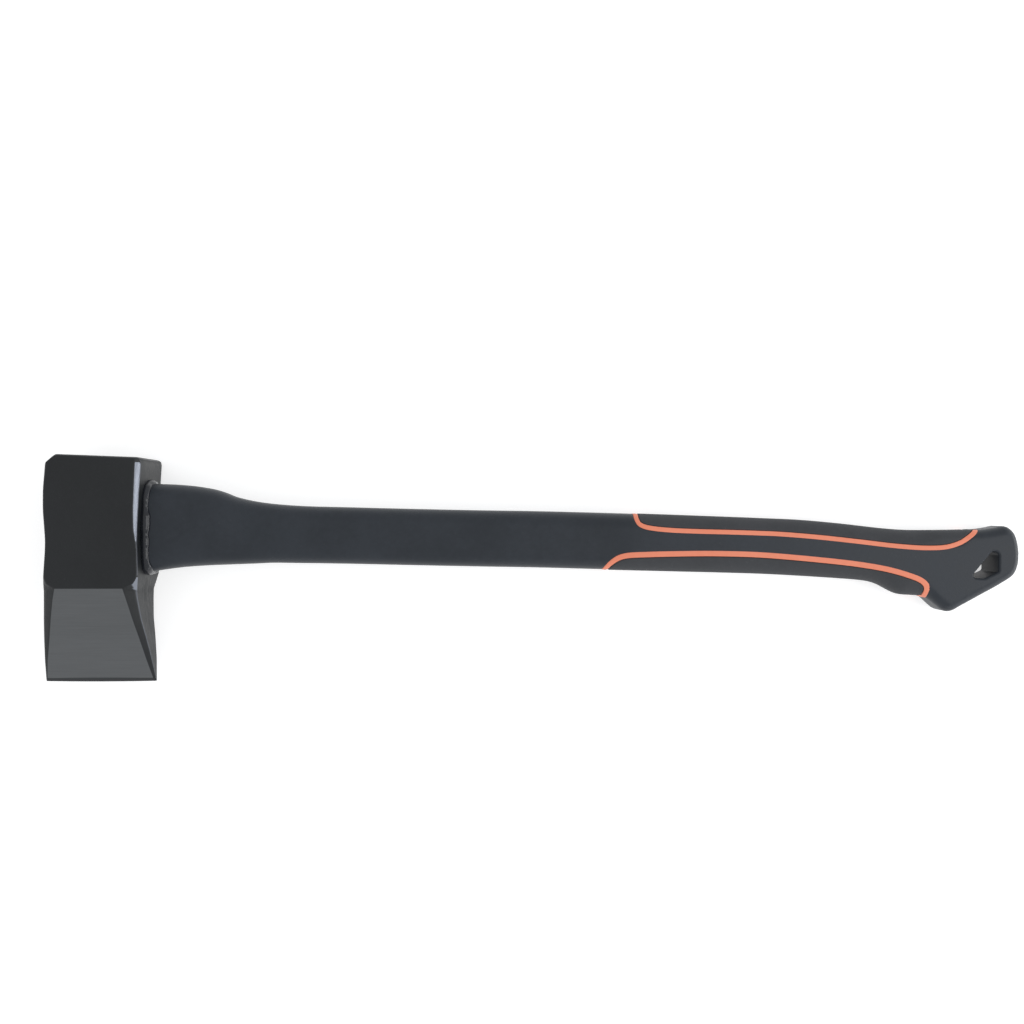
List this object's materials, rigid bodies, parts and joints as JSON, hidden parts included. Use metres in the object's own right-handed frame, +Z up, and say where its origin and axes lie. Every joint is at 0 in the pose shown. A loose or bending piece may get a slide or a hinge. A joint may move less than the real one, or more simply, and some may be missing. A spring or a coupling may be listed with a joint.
{
  "type": "splitting maul",
  "caption": "Forged splitting maul head with a ground wedge bevel on a straight moulded handle with soft grip pads and a flared butt pierced by a hanging hole.",
  "frame": {"origin": "middle of the bounding box's bottom face, in the plane of the lower cheek", "axes": "+X along the handle from the head to the butt, +Y towards the poll with the cutting edge at -Y, +Z up and square to the cheeks"},
  "size_m": [0.7, 0.1624, 0.054],
  "materials": {
    "head": "black stoved paint over forging scale, ground bare steel on the bevel",
    "resin": "cured epoxy, glossy",
    "seal": "cured sealing bead, uneven and glossy",
    "core": "pultruded glass fibre",
    "jacket": "satin, fine spark texture",
    "liner": "satin orange",
    "grip": "matt, fine texture"
  },
  "bodies": {
    "root": {"head": "head", "eye_resin": "resin", "seal_bead": "seal", "core_rod": "core", "handle_jacket": "jacket", "upper_liner": "liner", "lower_liner": "liner", "upper_grip": "grip", "lower_grip": "grip"}
  },
  "joints": []
}
